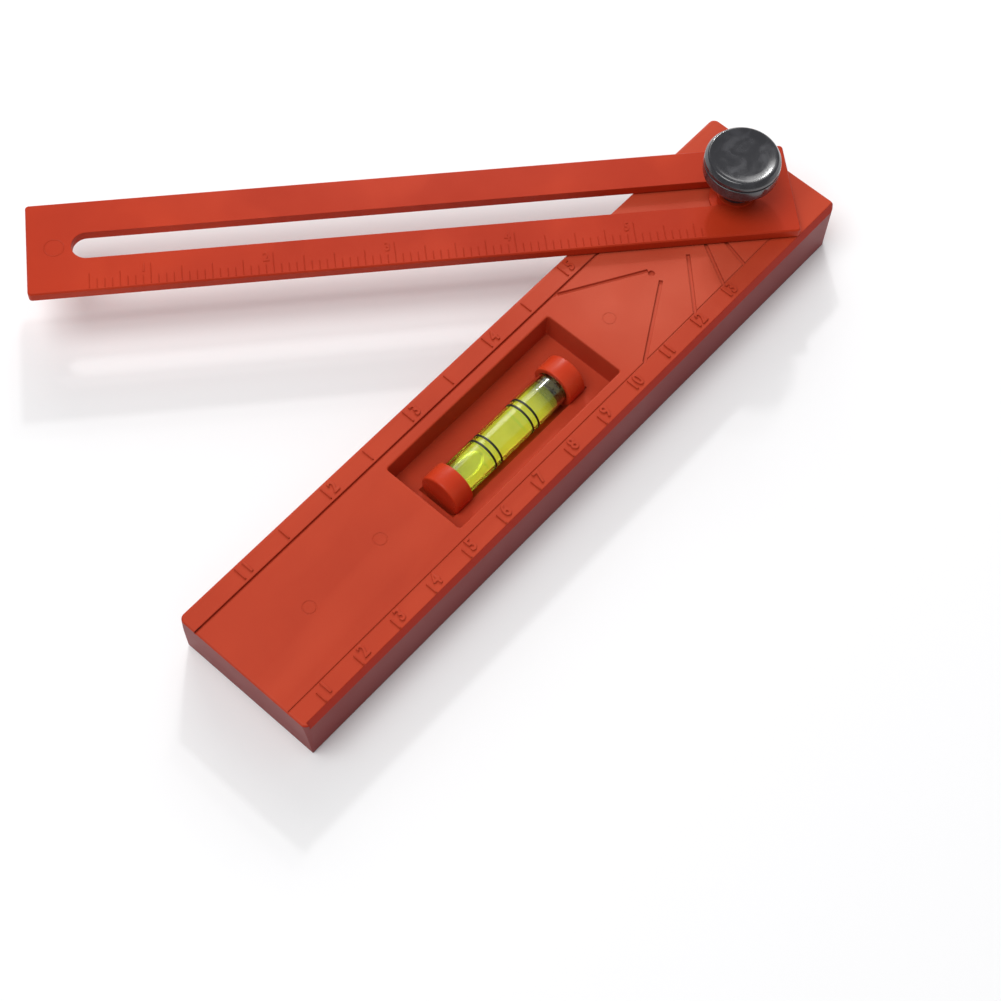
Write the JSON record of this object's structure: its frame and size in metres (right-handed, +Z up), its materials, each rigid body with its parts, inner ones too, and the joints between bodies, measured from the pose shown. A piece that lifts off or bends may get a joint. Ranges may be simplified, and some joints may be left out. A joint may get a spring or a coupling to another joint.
{
  "type": "sliding bevel square",
  "caption": "Plastic sliding T-bevel: a slotted blade clamped by a round knob to a thick stock that holds a level vial, with ruled edges and angle lines.",
  "frame": {"origin": "where the pivot bolt's axis meets the plane of the stock's underside", "axes": "+Z up along the pivot axis, +X along the stock towards its pivot end, -Y towards the edge with the centimetre numbers"},
  "size_m": [0.1664, 0.1243, 0.0293],
  "materials": {
    "stock_plastic": "satin moulded orange-red plastic",
    "blade_plastic": "satin moulded orange-red plastic",
    "cap_plastic": "glossy orange-red plastic",
    "vial_acrylic": "clear polished acrylic",
    "vial_fluid": "clear yellow-green liquid",
    "seal_rubber": "matt black",
    "ring_black": "black line",
    "steel": "bright zinc-plated",
    "brass": "turned and knurled",
    "knob_plastic": "glossy black moulded plastic"
  },
  "bodies": {
    "stock": {"stock_body": "stock_plastic", "pivot_bolt": "steel", "friction_washer": "cap_plastic", "vial_tube": "vial_acrylic", "vial_fluid": "vial_fluid", "vial_seal_near": "seal_rubber", "vial_seal_far": "seal_rubber", "vial_cap_near": "cap_plastic", "vial_cap_far": "cap_plastic", "vial_ring_near_1": "ring_black", "vial_ring_near_2": "ring_black", "vial_ring_far_1": "ring_black", "vial_ring_far_2": "ring_black"},
    "slide_block": {"slot_bush": "cap_plastic"},
    "blade": {"blade": "blade_plastic"},
    "clamp": {"clamp_washer": "cap_plastic"},
    "knob": {"knob_body": "knob_plastic", "knob_insert": "brass", "knob_cap": "knob_plastic"}
  },
  "joints": [
    {"name": "blade_swivel", "type": "hinge", "parent": "stock", "child": "slide_block", "pos_m": [0, 0, 0.0155], "axis": [0, 0, 1], "continuous": true},
    {"name": "blade_slide", "type": "slide", "parent": "slide_block", "child": "blade", "axis": [0.7513, -0.66, 0], "range_m": [0, 0.1369]},
    {"name": "knob_lift", "type": "slide", "parent": "stock", "child": "clamp", "axis": [0, 0, 1], "range_m": [0, 0.00105]},
    {"name": "knob_turn", "type": "hinge", "parent": "clamp", "child": "knob", "pos_m": [0, 0, 0.023], "axis": [0, 0, 1], "range_deg": [0, 540]}
  ],
  "couplings": [
    {"joint": "knob_lift", "follows": "knob_turn", "m_per_rad": 0.00011141}
  ]
}
